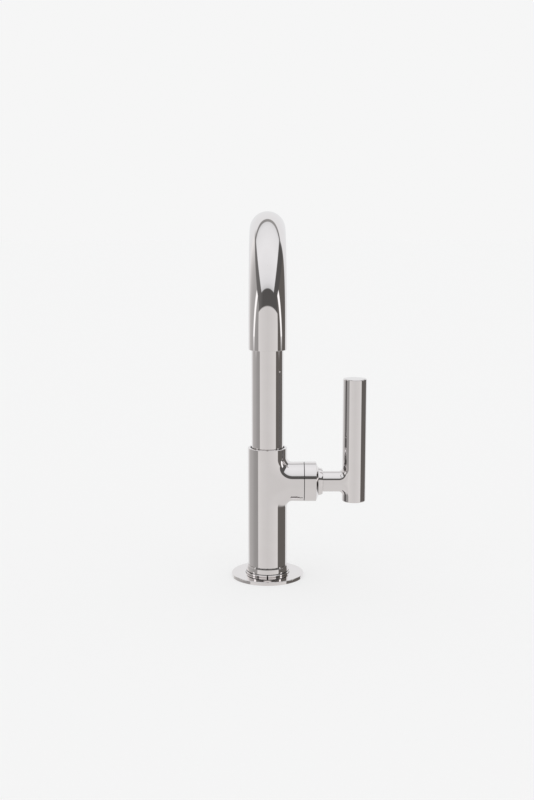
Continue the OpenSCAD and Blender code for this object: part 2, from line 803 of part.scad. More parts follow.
// Centres of a hexagonal field of holes that fit inside radius limit_r
function hex_field(pitch, limit_r) =
    let (n = ceil(limit_r / pitch))
    [
        for (i = [-n : n], j = [-n : n])
            let (p = pitch * [i + j / 2, j * sin(60)])
            if (norm(p) <= limit_r) p
    ];

module holed_disc(z, thickness, r, hole_d, pitch) {
    translate([0, outlet_y, z]) difference() {
        cylinder(h = thickness, r = r, $fn = round_fn);
        for (p = hex_field(pitch, r - hole_d))
            translate([p[0], p[1], -cut]) cylinder(h = thickness + 2 * cut, d = hole_d, $fn = small_fn);
    }
}

// Outlet grille, on the lip of the shell
module aerator_screen() {
    color("gainsboro")
        holed_disc(bush_low_z + aerator_lip, grille_t, aerator_bore_r - seated, grille_hole_d, grille_pitch);
}

// Jet plate that draws the air in
module aerator_core() {
    color("white") union() {
        holed_disc(core_z, core_t, aerator_bore_r - seated, grille_hole_d / 2, grille_pitch);
        translate([0, outlet_y, bush_low_z + aerator_lip + grille_t])
            cylinder(h = core_z - bush_low_z - aerator_lip - grille_t, r = grille_pitch / 4, $fn = small_fn);
    }
}

// Rubber washer on top of the aerator
module aerator_washer() {
    color("dimgray") translate([0, outlet_y, 0])
        flat_ring(bush_low_z + aerator_h, washer_t, aerator_r, aerator_bore_r - aerator_lip);
}

escutcheon_flange();
base_ring();
deck_seal();
faucet_body();
spout_lock_screw();
cartridge_bonnet();
cartridge_nut();
cartridge_housing();
cartridge_base();
port_seals();
fixed_disc();
cartridge_rotor();
rotor_seal();
stem_pin();
cartridge_stem();
lever_ball();
lever_handle();
lever_set_screw();
disc_carrier();
moving_disc();
spout_tube();
spout_shank();
shank_seal_upper();
shank_seal_lower();
glide_ring();
outlet_bush();
aerator_shell();
aerator_core();
aerator_screen();
aerator_washer();
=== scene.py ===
import json
import math

import bpy
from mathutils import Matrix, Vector

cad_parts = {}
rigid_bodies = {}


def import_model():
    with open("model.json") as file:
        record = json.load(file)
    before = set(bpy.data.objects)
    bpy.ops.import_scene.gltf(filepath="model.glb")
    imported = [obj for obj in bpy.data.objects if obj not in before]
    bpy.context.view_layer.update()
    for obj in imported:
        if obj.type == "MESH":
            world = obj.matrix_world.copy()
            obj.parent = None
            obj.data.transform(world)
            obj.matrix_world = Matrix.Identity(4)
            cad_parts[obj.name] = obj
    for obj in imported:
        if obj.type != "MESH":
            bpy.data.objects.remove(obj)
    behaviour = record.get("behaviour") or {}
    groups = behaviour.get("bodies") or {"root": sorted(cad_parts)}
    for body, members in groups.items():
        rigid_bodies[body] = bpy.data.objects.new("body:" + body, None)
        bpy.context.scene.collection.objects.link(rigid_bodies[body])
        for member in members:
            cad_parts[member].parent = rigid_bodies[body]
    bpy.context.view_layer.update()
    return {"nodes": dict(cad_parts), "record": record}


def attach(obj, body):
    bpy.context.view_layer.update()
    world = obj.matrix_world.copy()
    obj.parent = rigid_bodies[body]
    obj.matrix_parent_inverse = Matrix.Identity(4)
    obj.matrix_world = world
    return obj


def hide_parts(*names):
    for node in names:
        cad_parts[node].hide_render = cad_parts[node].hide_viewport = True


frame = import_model()
NODES = frame["nodes"]

# Photograph's frame and camera, in pixels, metres and degrees
IMAGE_LONG_SIDE = 800
FOCAL_PX = 1111
SENSOR_MM = 36.0
CAMERA_PLACE = (-0.0004, -0.8745, 0.278)
CAMERA_PITCH = 8.7
BACKDROP = 0.921

# Studio that the polished metal reflects. Bearings are in degrees, 0 at the front and growing to the
# right. A wall's top is a slope, and the ceiling's edges are slopes measured from straight up.
LEFT_CORNER, RIGHT_CORNER, RIGHT_WALL_START = -57, 63, 62
BACK_FROM_RIGHT, BACK_FROM_LEFT, BEHIND = 132, -140, 200
FRONT_TOP, LEFT_TOP, RIGHT_TOP, BACK_TOP = 0.46, 0.57, 0.5, 0.92
CEILING_FRONT, CEILING_BACK, CEILING_SIDE = 1.10, -0.86, 1.03
FLOOR_ELEVATION = -28
STUDIO_GAIN = 1 / 0.86  # makes up for the metal's own tone
TWICE_SEEN = 0.75  # what a reflection of a reflection loses
CAMERA_WIDE, CAMERA_LOW, CAMERA_HIGH = 0.065, 0.27, 0.34  # sideways and upward parts of its direction

# Sizes of the visible pieces in millimetres, as in the CAD source but for fine edges and seams
FLANGE_R, FLANGE_T, FLANGE_EDGE = 29.0, 2.8, 0.6
COLLAR_R, RING_R, RING_LOW_Z, RING_TOP_Z = 17.45, 17.05, 4.8, 9.8
COLLAR_CHAMFER, RING_CHAMFER, RING_LEAN, RING_BEVEL, RING_BEVEL_H = 0.6, 0.3, 0.18, 0.5, 1.0
COLLAR_CREVICE, CREVICE_DEPTH, CREVICE_RISE, COLLAR_SEAM = 0.3, 0.2, 0.15, 0.3
SEAM, SEAM_DEPTH = 0.25, 0.5
FOOT_SEAM_IN, FOOT_SEAM_OUT, FOOT_H = 0.05, 0.1, 0.8
SPIGOT_R, BASE_BORE_R = 13.0, 13.05
GROOVE_IN, GROOVE_OUT, GROOVE_H = 19.45, 24.55, 1.5
BODY_R, BODY_TOP_Z, RIM_CHAMFER = 15.75, 106.0, 0.5
SOCKET_R, SOCKET_GAP, SOCKET_GROOVE = 12.78, 1.0, 0.4
HUB_R, HUB_Z, HUB_END_X, HUB_FILLET, HUB_TAIL_X = 15.9, 78.0, 29.3, 4.2, 27.0
NUT_BORE_R, BONNET_BORE_R = 13.45, 13.45
BONNET_SHOULDER_X, BONNET_MOUTH_X, MOUTH_R = 38.9, 40.6, 11.8
BONNET_THREAD_X, BONNET_THROAT_X = 33.7, 35.35
LOCK_Z, LOCK_HOLE_R = 94.5, 2.05
TUBE_R, TUBE_BORE_R, TUBE_FOOT_Z, TUBE_END = 12.7, 11.7, 103.83, 0.3
ARCH_R, ARCH_Z, OUTLET_Z = 70.0, 208.6, 199.5
BALL_X, BALL_R, BALL_REAR, BALL_SHOULDER, BALL_FRONT = 39.5, 11.3, 5.5, 4.6, 5.9
BALL_STEP = 0.2
ARM_R, ARM_X = 8.25, 45.4
HANDLE_X, HANDLE_R, HANDLE_LOW_Z, HANDLE_TOP_Z = 69.5, 9.525, 62.0, 161.5
HANDLE_EDGE, HANDLE_FILLET = 1.0, 2.8
SCREW_X, SCREW_HOLE_R = 50.7, 2.07

MM = 0.001
JOINT_SHADE = 1  # material slot of the near-black faces inside a joint, which are painted shade
STEPS = 144  # columns round a full turn
BEND_STEPS = 16  # rows round a quarter bend


# Mesh code: patches with exact normals, so that mirror finishes stay true
class Skin:
    """Collects patches, in millimetres, and welds them into one mesh."""

    def __init__(self):
        self.ids = {}
        self.points = []
        self.faces = []
        self.normals = []
        self.slots = []

    def index(self, place):
        key = tuple(round(c * 5000) for c in place)
        if key not in self.ids:
            self.ids[key] = len(self.points)
            self.points.append(Vector(place))
        return self.ids[key]

    def face(self, corners, slot=0):
        """One face from (place, normal) pairs, turned to face its normals."""
        ring = []
        for place, normal in corners:
            index = self.index(place)
            if all(index != other for other, _ in ring):
                ring.append((index, Vector(normal)))
        if len(ring) < 3:
            return
        places = [self.points[index] for index, _ in ring]
        facing = (places[2] - places[0]).cross(places[-1] - places[1])
        if facing.length < 1e-9:
            return
        if facing.dot(sum((normal for _, normal in ring), Vector())) < 0:
            ring.reverse()
        self.faces.append([index for index, _ in ring])
        self.normals += [normal.normalized() for _, normal in ring]
        self.slots.append(slot)

    def patch(self, rows, slot=0, skip=None):
        """Faces between rows of (place, normal) pairs."""
        for i, (low, high) in enumerate(zip(rows, rows[1:])):
            for j, corners in enumerate(zip(low, low[1:], high[1:], high)):
                if skip is None or not skip(i, j):
                    self.face(corners, slot)

    def inside_of(self, node, keep):
        """Takes over the faces of a CAD node for which keep(centre) holds."""
        mesh = NODES[node].data
        for polygon in mesh.polygons:
            if keep(*(c / MM for c in polygon.center)):
                self.face([
                    (mesh.vertices[mesh.loops[k].vertex_index].co / MM, mesh.corner_normals[k].vector)
                    for k in polygon.loop_indices
                ])

    def build(self, name, body, node, *materials):
        mesh = bpy.data.meshes.new(name)
        mesh.from_pydata([p * MM for p in self.points], [], self.faces)
        for material in materials:
            mesh.materials.append(material)
        mesh.polygons.foreach_set("material_index", self.slots)
        mesh.polygons.foreach_set("use_smooth", [True] * len(self.faces))
        mesh.normals_split_custom_set(self.normals)
        piece = bpy.data.objects.new(name, mesh)
        bpy.context.scene.collection.objects.link(piece)
        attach(piece, body)
        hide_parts(node)
        return piece


def outline(corners, metal=None):
    """Runs of (radius, height, normal), with their slot, along an outline of corners.

    A corner is (radius, height, edge radius, slot of the straight run that starts there). The
    outline is closed, or an open one past the point `metal`, which lies inside the piece.
    """
    spots = [Vector(c[:2]) for c in corners]
    count = len(spots)
    closed = metal is None
    if closed:
        side = sum(spots[i].cross(spots[(i + 1) % count]) for i in range(count))
    else:
        side = (spots[1] - spots[0]).cross(Vector(metal) - spots[0])
    side = math.copysign(1, side)

    def normal_of(a, b):
        step = (b - a).normalized()
        return Vector((side * step.y, -side * step.x))

    runs, ends = [], []
    for i, here in enumerate(spots):
        edge = corners[i][2] if len(corners[i]) > 2 else 0
        if edge == 0 or (not closed and i in (0, count - 1)):
            ends.append((here, here))
            continue
        before, after = spots[i - 1], spots[(i + 1) % count]
        back, on = (before - here).normalized(), (after - here).normalized()
        reach = edge / math.tan(back.angle(on) / 2)
        first, last = normal_of(before, here), normal_of(here, after)
        turn = first.angle_signed(last)
        bulge = 1 if (-back).cross(on) * side > 0 else -1
        centre = here + back * reach - bulge * edge * first
        steps = max(3, round(abs(math.degrees(turn)) / 9))
        arc = []
        for k in range(steps + 1):
            angle = -turn * k / steps
            n = Vector((first.x * math.cos(angle) - first.y * math.sin(angle),
                        first.x * math.sin(angle) + first.y * math.cos(angle)))
            arc.append((*(centre + bulge * edge * n), n))
        runs.append((0, arc))
        ends.append((here + back * reach, here + on * reach))
    for i in range(count if closed else count - 1):
        a, b = ends[i][1], ends[(i + 1) % count][0]
        if (b - a).length > 1e-6:
            n = normal_of(spots[i], spots[(i + 1) % count])
            runs.append((corners[i][3] if len(corners[i]) > 3 else 0, [(*a, n), (*b, n)]))
    return runs


def upright(radius, height, normal, angle, x=0.0):
    """Point of an outline turned about a vertical axis."""
    c, s = math.cos(angle), math.sin(angle)
    return (x + radius * c, radius * s, height), (normal.x * c, normal.x * s, normal.y)


def level(radius, along, normal, angle, base=0.0):
    """Point of an outline turned about the hub's axis; the angle starts at the top."""
    c, s = math.cos(angle), math.sin(angle)
    return (base + along, radius * s, HUB_Z + radius * c), (normal.y, normal.x * s, normal.x * c)


FULL_TURN = [2 * math.pi * k / STEPS for k in range(STEPS + 1)]


def turned(skin, runs, place, angles=FULL_TURN):
    for slot, run in runs:
        skin.patch([[place(r, h, n, a) for r, h, n in run] for a in angles], slot)


def window_loop(across, along):
    """Closed loop round the grid of places across and along."""
    return ([(u, along[0]) for u in across]
            + [(across[-1], v) for v in along[1:]]
            + [(u, along[-1]) for u in reversed(across[:-1])]
            + [(across[0], v) for v in reversed(along[:-1])])


def around_hole(skin, surface, loop, centre, radius):
    """Fills the surface between a closed loop and a round hole inside it."""
    rows = []
    for share in (0.0, 0.5, 1.0):
        row = []
        for u, v in loop:
            du, dv = u - centre[0], v - centre[1]
            k = 1 + share * (radius / math.hypot(du, dv) - 1)
            row.append(surface(centre[0] + du * k, centre[1] + dv * k))
        rows.append(row)
    skin.patch(rows)


class Tee:
    """An upright post and a level pipe, joined above and below by quarter bends.

    Lengths run outwards along the pipe from the post's axis, and up from the pipe's. The post
    and the pipe have a column each at the same depths, so their walls and the bends meet.
    """

    def __init__(self, post_r, pipe_r, fillet_r, at_x, facing):
        self.post_r, self.pipe_r = post_r, pipe_r
        self.reach, self.rise = post_r + fillet_r, pipe_r + fillet_r
        self.at_x, self.facing = at_x, facing
        self.half = STEPS // 2
        self.sweep = [math.pi * (k / self.half - 0.5) for k in range(self.half + 1)]
        self.front = [math.asin(pipe_r * math.sin(a) / post_r) for a in self.sweep]
        gap = 2 * (math.pi - self.front[-1])
        self.round = self.front + [self.front[-1] + gap * k / self.half for k in range(1, self.half + 1)]
        self.pipe_turn = self.sweep + [math.pi - a for a in reversed(self.sweep[:-1])]
        self.bend = [0.5 * math.pi * k / BEND_STEPS for k in range(BEND_STEPS + 1)]

    def put(self, place, normal):
        x, y, z = place
        return (self.at_x + self.facing * x, y, HUB_Z + z), (self.facing * normal[0], normal[1], normal[2])

    def on_post(self, radius, height, normal, angle):
        c, s = math.cos(angle), math.sin(angle)
        return self.put((radius * c, radius * s, height - HUB_Z), (normal.x * c, normal.x * s, normal.y))

    def on_pipe(self, radius, along, normal, angle):
        c, s = math.cos(angle), math.sin(angle)
        return self.put((along, radius * s, radius * c), (normal.y, normal.x * s, normal.x * c))

    def on_bend(self, a, t):
        """Place and normal on the upper bend: a goes round the pipe from its top, t along the bend."""
        depth, top = self.pipe_r * math.sin(a), self.pipe_r * math.cos(a)
        out = math.sqrt(max(0.0, self.post_r ** 2 - depth ** 2))
        c, s = math.cos(t), math.sin(t)
        wide, tall = self.reach - out, self.rise - top
        place = Vector((self.reach - wide * c, depth, self.rise - tall * s))
        slope = top / out if out > 1e-6 else 1.0
        along = Vector((wide * s, 0, -tall * c))
        around = Vector((-depth * slope * c, top, -depth * s))
        normal = along.cross(around)
        if normal.length < 1e-6:
            normal = Vector((out, depth, 0))
        return place, normal.normalized()

    def bends(self, skin, skip=None):
        """Both bends with their flat webs. skip leaves cells out of the upper bend's back half."""
        for flip in (1, -1):
            def flipped(place, normal):
                place = (place[0], place[1], flip * place[2])
                return self.put(place, (normal[0], normal[1], flip * normal[2]))
            rows = [[flipped(*self.on_bend(a, t)) for t in self.bend] for a in self.sweep]
            skin.patch(rows, skip=skip if flip > 0 else None)
            for side in (0, -1):
                angle = self.front[side]
                facing = (math.cos(angle), math.sin(angle), 0)
                rows = []
                for t in self.bend:
                    place, normal = self.on_bend(self.sweep[side], t)
                    edge = (self.post_r * facing[0], place[1], place[2])
                    rows.append([flipped(edge, facing), flipped(place, (0, math.copysign(1, place[1]), 0))])
                left_out = skip if flip > 0 and side == -1 else None
                skin.patch(rows, skip=left_out and (lambda i, j: left_out(self.half - 1, i)))

    def post(self, skin, low, high, stops=(), skip=None):
        """The post's wall from low to high, with extra rows at the heights in stops above the pipe."""
        out = Vector((1, 0))
        for end, rise, levels in ((high, self.rise, stops), (low, -self.rise, ())):
            for columns, start in ((self.round[:self.half + 1], rise), (self.round[self.half:], 0.0)):
                heights = [start, *(z for z in levels if z > start), end - HUB_Z]
                rows = [[self.on_post(self.post_r, HUB_Z + z, out, angle) for z in heights]
                        for angle in columns]
                skin.patch(rows, skip=skip if end == high and start == 0.0 else None)

    def pipe(self, skin, end, end_r, stops=(), skip=None):
        """The pipe's wall from the bends out to end, where its radius is end_r."""
        out = Vector((1, 0))
        rows = []
        for turn in self.pipe_turn:
            row = [self.on_pipe(self.pipe_r, x, out, turn) for x in (self.reach, *stops)]
            rows.append(row + [self.on_pipe(end_r, end, out, turn)])
        skin.patch(rows, skip=skip)


# Materials
class Nodes:
    """Small helper that adds nodes to a tree and links them."""

    def __init__(self, tree):
        self.tree = tree
        tree.nodes.clear()

    def add(self, kind, **values):
        node = self.tree.nodes.new(kind)
        for name, value in values.items():
            setattr(node, name, value)
        return node

    def link(self, source, target):
        self.tree.links.new(source, target)

    def put(self, socket, value):
        if isinstance(value, bpy.types.NodeSocket):
            self.link(value, socket)
        else:
            socket.default_value = value

    def math(self, operation, *values, clamp=False):
        node = self.add("ShaderNodeMath", operation=operation, use_clamp=clamp)
        for socket, value in zip(node.inputs, values):
            self.put(socket, value)
        return node.outputs[0]

    def step(self, value, low, high):
        """0 below low, 1 above high, smooth between."""
        node = self.add("ShaderNodeMapRange", interpolation_type="SMOOTHSTEP")
        self.put(node.inputs["Value"], value)
        self.put(node.inputs["From Min"], low)
        self.put(node.inputs["From Max"], high)
        return node.outputs["Result"]

    def span(self, value, low, high, out_low, out_high):
        node = self.add("ShaderNodeMapRange")
        for name, v in (("Value", value), ("From Min", low), ("From Max", high),
                        ("To Min", out_low), ("To Max", out_high)):
            self.put(node.inputs[name], v)
        return node.outputs["Result"]

    def ramp(self, value, stops, warm=1.0):
        """Grey that follows value through (position, 8-bit level) stops."""
        low, high = stops[0][0], stops[-1][0]
        node = self.add("ShaderNodeValToRGB")
        self.put(node.inputs[0], self.span(value, low, high, 0.0, 1.0))
        elements = node.color_ramp.elements
        while len(elements) < len(stops):
            elements.new(0.5)
        for element, (at, level) in zip(elements, stops):
            element.position = (at - low) / (high - low)
            element.color = grey(level, warm)
        return node.outputs[0]

    def mix(self, factor, first, second):
        node = self.add("ShaderNodeMix", data_type="RGBA")
        self.put(node.inputs[0], factor)
        self.put(node.inputs[6], first)
        self.put(node.inputs[7], second)
        return node.outputs[2]

    def place(self, scale=(1, 1, 1)):
        coords = self.add("ShaderNodeTexCoord")
        mapping = self.add("ShaderNodeMapping")
        mapping.inputs["Scale"].default_value = scale
        self.link(coords.outputs["Object"], mapping.inputs["Vector"])
        return mapping.outputs[0]

    def noise(self, scale, detail=3.0, stretch=(1, 1, 1)):
        node = self.add("ShaderNodeTexNoise")
        node.inputs["Scale"].default_value = scale
        node.inputs["Detail"].default_value = detail
        self.link(self.place(stretch), node.inputs["Vector"])
        return node.outputs["Fac"]

    def bump(self, height, strength, distance):
        node = self.add("ShaderNodeBump")
        node.inputs["Strength"].default_value = strength
        node.inputs["Distance"].default_value = distance
        self.link(height, node.inputs["Height"])
        return node.outputs[0]


def surface(name, first, second, metallic, roughness, grain, bump, specular=0.5):
    """Principled material: two tones mixed by a soft mottle, roughness and bump from a fine grain.

    grain is (scale, stretch), bump is (strength, distance in metres).
    """
    material = bpy.data.materials.new(name)
    material.use_nodes = True
    n = Nodes(material.node_tree)
    shader = n.add("ShaderNodeBsdfPrincipled")
    shader.inputs["Metallic"].default_value = metallic
    shader.inputs["Specular IOR Level"].default_value = specular
    mottle = n.step(n.noise(90, 4), 0.35, 0.65)
    n.link(n.mix(mottle, (*first, 1), (*second, 1)), shader.inputs["Base Color"])
    fine = n.noise(grain[0], 3, grain[1])
    n.link(n.span(fine, 0.3, 0.7, *roughness), shader.inputs["Roughness"])
    n.link(n.bump(fine, *bump), shader.inputs["Normal"])
    output = n.add("ShaderNodeOutputMaterial")
    n.link(shader.outputs[0], output.inputs["Surface"])
    return material


EVEN = (1, 1, 1)
MATERIALS = {
    "nickel": surface("polished_nickel", (0.908, 0.874, 0.872), (0.895, 0.860, 0.856), 1.0,
                      (0.018, 0.035), (1400, EVEN), (0.02, 0.00002)),
    # Painted shade: near-black, rough, not metallic faces that stand for the shadow inside the nickel's
    # seams and grooves
    "joint": surface("joint_shadow", (0.012, 0.012, 0.012), (0.020, 0.019, 0.018), 0.0,
                     (0.55, 0.75), (2600, EVEN), (0.2, 0.00003), 0.2),
    "brass": surface("turned_brass", (0.78, 0.60, 0.30), (0.70, 0.52, 0.25), 1.0,
                     (0.16, 0.30), (1800, (0.2, 1, 1)), (0.15, 0.00005)),
    "steel": surface("turned_steel", (0.63, 0.63, 0.64), (0.55, 0.55, 0.56), 1.0,
                     (0.18, 0.32), (2200, (0.2, 1, 1)), (0.15, 0.00004)),
    "rubber": surface("moulded_rubber", (0.022, 0.022, 0.023), (0.034, 0.033, 0.033), 0.0,
                      (0.50, 0.70), (3000, EVEN), (0.25, 0.00005), 0.35),
    "plastic": surface("acetal", (0.80, 0.80, 0.77), (0.76, 0.76, 0.73), 0.0,
                       (0.34, 0.46), (2600, EVEN), (0.12, 0.00004)),
    "screen_plastic": surface("grey_plastic", (0.34, 0.35, 0.36), (0.29, 0.30, 0.31), 0.0,
                              (0.36, 0.50), (2600, EVEN), (0.15, 0.00004)),
    "ceramic": surface("ceramic", (0.90, 0.89, 0.85), (0.86, 0.85, 0.81), 0.0,
                       (0.12, 0.22), (2400, EVEN), (0.05, 0.00003)),
}


def dress_cad_nodes():
    for part in frame["record"]["subparts"]:
        mesh = NODES[part["node"]].data
        mesh.materials.clear()
        mesh.materials.append(MATERIALS[part["material_slot"]])


# Visible nickel pieces
def build_flange():
    skin = Skin()
    turned(skin, outline([
        (BASE_BORE_R, 0), (GROOVE_IN, 0), (GROOVE_IN, GROOVE_H), (GROOVE_OUT, GROOVE_H),
        (GROOVE_OUT, 0), (FLANGE_R, 0, 0.2), (FLANGE_R, FLANGE_T, FLANGE_EDGE),
        # The crevice round the collar's foot and the seam under the ring take the joint slot: painted shade
        (COLLAR_R + COLLAR_CREVICE, FLANGE_T, 0.06, JOINT_SHADE), (COLLAR_R, FLANGE_T - CREVICE_DEPTH, 0, JOINT_SHADE),
        (COLLAR_R, FLANGE_T + CREVICE_RISE), (COLLAR_R, RING_LOW_Z - COLLAR_CHAMFER, 0.08),
        (COLLAR_R - COLLAR_CHAMFER + COLLAR_SEAM, RING_LOW_Z - COLLAR_SEAM, 0, JOINT_SHADE),
        (RING_R - SEAM_DEPTH, RING_LOW_Z - COLLAR_SEAM, 0, JOINT_SHADE), (RING_R - SEAM_DEPTH, RING_LOW_Z),
        (BASE_BORE_R, RING_LOW_Z),
    ]), upright)
    skin.build("deck_plate", "base", "escutcheon_flange", MATERIALS["nickel"], MATERIALS["joint"])


def build_ring():
    skin = Skin()
    turned(skin, outline([
        # The chamfer at the ring's lower edge takes the joint slot: painted shade in the seam above the
        # collar
        (BASE_BORE_R, RING_LOW_Z), (RING_R - RING_CHAMFER, RING_LOW_Z, 0, JOINT_SHADE),
        (RING_R, RING_LOW_Z + RING_CHAMFER, 0.08), (RING_R - RING_LEAN, RING_TOP_Z - RING_BEVEL_H, 0.15),
        (RING_R - RING_LEAN - RING_BEVEL, RING_TOP_Z, 0.1), (BASE_BORE_R, RING_TOP_Z),
    ]), upright)
    skin.build("base_collar", "base", "base_ring", MATERIALS["nickel"], MATERIALS["joint"])


def build_body():
    skin = Skin()
    tee = Tee(BODY_R, BODY_R, HUB_FILLET, 0.0, 1)
    low, high = RING_TOP_Z + FOOT_H, BODY_TOP_Z - RIM_CHAMFER
    # A window round the lock screw's hole, at the back where the post, a web and the upper bend meet
    half, rows = 6, 4
    middle, bend = tee.half, tee.rise
    floor = bend * (1 - math.sin(tee.bend[rows]))
    tee.post(skin, low, high, (floor, bend), lambda i, j: j == 1 and i < half)
    tee.bends(skin, lambda i, j: i >= middle - half and j < rows)

    def back_wall(x, z):
        depth = bend
        if x > 0:
            depth = min(bend, math.hypot(bend - x, bend - z))
        inward = bend - depth if x > 0 else x
        y = math.sqrt(BODY_R ** 2 - inward ** 2)
        if x > 0:
            normal = (inward * (bend - x) / depth, y, inward * (bend - z) / depth)
        else:
            normal = (x, y, 0)
        return tee.put((x, y, z), normal)

    edge = [BODY_R * math.cos(a) for a in tee.round[middle - half:middle + half + 1]]
    loop = [(x, bend) for x in reversed(edge)]
    for a, t in ([(tee.sweep[middle - half], t) for t in tee.bend[1:rows + 1]]
                 + [(a, tee.bend[rows]) for a in tee.sweep[middle - half + 1:middle + 1]]):
        place, _ = tee.on_bend(a, t)
        loop.append((place.x, place.z))
    loop += [(x, floor) for x in edge[half:]]
    loop += [(edge[-1], floor + (bend - floor) * share) for share in (0.33, 0.67, 1.0)]
    around_hole(skin, back_wall, loop, (0.0, LOCK_Z - HUB_Z), LOCK_HOLE_R)

    tail_r = BODY_R + (HUB_R - BODY_R) * (HUB_TAIL_X - tee.reach) / (HUB_END_X - tee.reach)
    tee.pipe(skin, HUB_TAIL_X, tail_r)
    # The hub's end and its half of the bonnet's seam, whose faces in the joint slot are painted shade
    turned(skin, outline([
        (tail_r, HUB_TAIL_X), (HUB_R, HUB_END_X - SEAM, 0.1, JOINT_SHADE),
        (HUB_R - SEAM_DEPTH, HUB_END_X - SEAM / 2, 0, JOINT_SHADE), (HUB_R - SEAM_DEPTH, HUB_END_X),
        (NUT_BORE_R, HUB_END_X),
    ], (NUT_BORE_R, HUB_TAIL_X)), tee.on_pipe, tee.pipe_turn)
    # The post's foot with the seam above the ring, whose faces in the joint slot are painted shade
    turned(skin, outline([
        (SPIGOT_R, RING_TOP_Z), (BODY_R - SEAM_DEPTH, RING_TOP_Z, 0, JOINT_SHADE),
        (BODY_R - SEAM_DEPTH, RING_TOP_Z + FOOT_SEAM_IN, 0, JOINT_SHADE),
        (BODY_R, RING_TOP_Z + FOOT_SEAM_OUT, 0.03), (BODY_R, low),
    ], (SPIGOT_R, low)), tee.on_post, tee.round)
    # The rim with a V groove round the spout's socket, the groove's faces in the joint slot painted shade
    turned(skin, outline([
        (BODY_R, high), (BODY_R, BODY_TOP_Z, RIM_CHAMFER), (SOCKET_R + SOCKET_GAP, BODY_TOP_Z, 0.1, JOINT_SHADE),
        (SOCKET_R + SOCKET_GAP / 2, BODY_TOP_Z - SOCKET_GROOVE, 0, JOINT_SHADE), (SOCKET_R + 0.06, BODY_TOP_Z),
        (SOCKET_R, BODY_TOP_Z),
    ], (SOCKET_R, high)), tee.on_post, tee.round)

    def inner(x, y, z):
        """Bores and the lock screw's hole, not the outer walls, the rim and the two end faces."""
        if z > BODY_TOP_Z - 0.6 and math.hypot(x, y) > SOCKET_R + 0.02 or x > HUB_END_X - 0.01:
            return False
        if abs(z - RING_TOP_Z) < 0.01:
            return False
        if y > 0 and math.hypot(x, z - LOCK_Z) < LOCK_HOLE_R + 0.02:
            return True
        return math.hypot(x, y) < BODY_R - 0.25 or (x > 0 and math.hypot(y, z - HUB_Z) < BODY_R - 0.25)

    skin.inside_of("faucet_body", inner)
    skin.build("tee_body", "base", "faucet_body", MATERIALS["nickel"], MATERIALS["joint"])


def build_bonnet():
    skin = Skin()
    turned(skin, outline([
        # The bonnet's half of the seam takes the joint slot: painted shade
        (BONNET_BORE_R, HUB_END_X), (HUB_R - SEAM_DEPTH, HUB_END_X, 0, JOINT_SHADE),
        (HUB_R - SEAM_DEPTH, HUB_END_X + SEAM / 2, 0, JOINT_SHADE), (HUB_R, HUB_END_X + SEAM, 0.1),
        (HUB_R, BONNET_SHOULDER_X, 0.2), (MOUTH_R, BONNET_MOUTH_X, 0.12), (MOUTH_R, BONNET_THROAT_X),
        (BONNET_BORE_R, BONNET_THREAD_X),
    ]), level)
    skin.build("bonnet", "base", "cartridge_bonnet", MATERIALS["nickel"], MATERIALS["joint"])


def build_ball():
    skin = Skin()
    rear, front = math.asin(-BALL_REAR / BALL_R), math.asin(BALL_SHOULDER / BALL_R)
    arc, steps = [], 48
    for k in range(steps + 1):
        t = rear + (front - rear) * k / steps
        n = Vector((math.cos(t), math.sin(t)))
        arc.append((*(BALL_R * n), n))
    shoulder_r = math.sqrt(BALL_R ** 2 - BALL_SHOULDER ** 2)
    front_runs = outline([
        (shoulder_r, BALL_SHOULDER), (ARM_R, BALL_SHOULDER + BALL_STEP, 0.15), (ARM_R, BALL_FRONT),
    ], (0, BALL_SHOULDER))
    turned(skin, [(0, arc)] + front_runs, lambda r, h, n, a: level(r, h, n, a, BALL_X))

    def inner(x, y, z):
        """The ball's hollow and its rear face, not the sphere, the shoulder and the neck."""
        along, radius = x - BALL_X, math.hypot(y, z - HUB_Z)
        if math.hypot(along, radius) > BALL_R - 0.1:
            return False
        return not (along > BALL_SHOULDER + 0.01 and along < BALL_FRONT - 0.01 and radius > ARM_R)

    skin.inside_of("lever_ball", inner)
    skin.build("ball", "lever", "lever_ball", MATERIALS["nickel"])


def build_lever():
    skin = Skin()
    tee = Tee(HANDLE_R, ARM_R, HANDLE_FILLET, HANDLE_X, -1)
    low, high = HANDLE_LOW_Z + HANDLE_EDGE, HANDLE_TOP_Z - HANDLE_EDGE
    tee.post(skin, low, high)
    tee.bends(skin)
    # A window round the set screw's hole, under the arm
    half, reach = 16, 3.0
    middle = tee.half + tee.half // 2
    hole = HANDLE_X - SCREW_X
    tee.pipe(skin, HANDLE_X - ARM_X, ARM_R, (hole - reach, hole + reach),
             lambda i, j: j == 1 and middle - half <= i < middle + half)
    wide = 2 * math.pi / STEPS * ARM_R
    loop = window_loop([k * wide for k in range(-half, half + 1)], [hole - reach, hole, hole + reach])
    loop.append(loop[0])
    around_hole(skin, lambda u, v: tee.on_pipe(ARM_R, v, Vector((1, 0)), math.pi + u / ARM_R),
                loop, (0.0, hole), SCREW_HOLE_R)
    for z, inside in ((HANDLE_TOP_Z, high), (HANDLE_LOW_Z, low)):
        turned(skin, outline([(HANDLE_R, inside), (HANDLE_R, z, HANDLE_EDGE), (0, z)], (0, inside)),
               tee.on_post, tee.round)

    def inner(x, y, z):
        return x < 57.0 and math.hypot(y, z - HUB_Z) < ARM_R - 0.25

    skin.inside_of("lever_handle", inner)
    skin.build("lever_bar", "lever", "lever_handle", MATERIALS["nickel"])


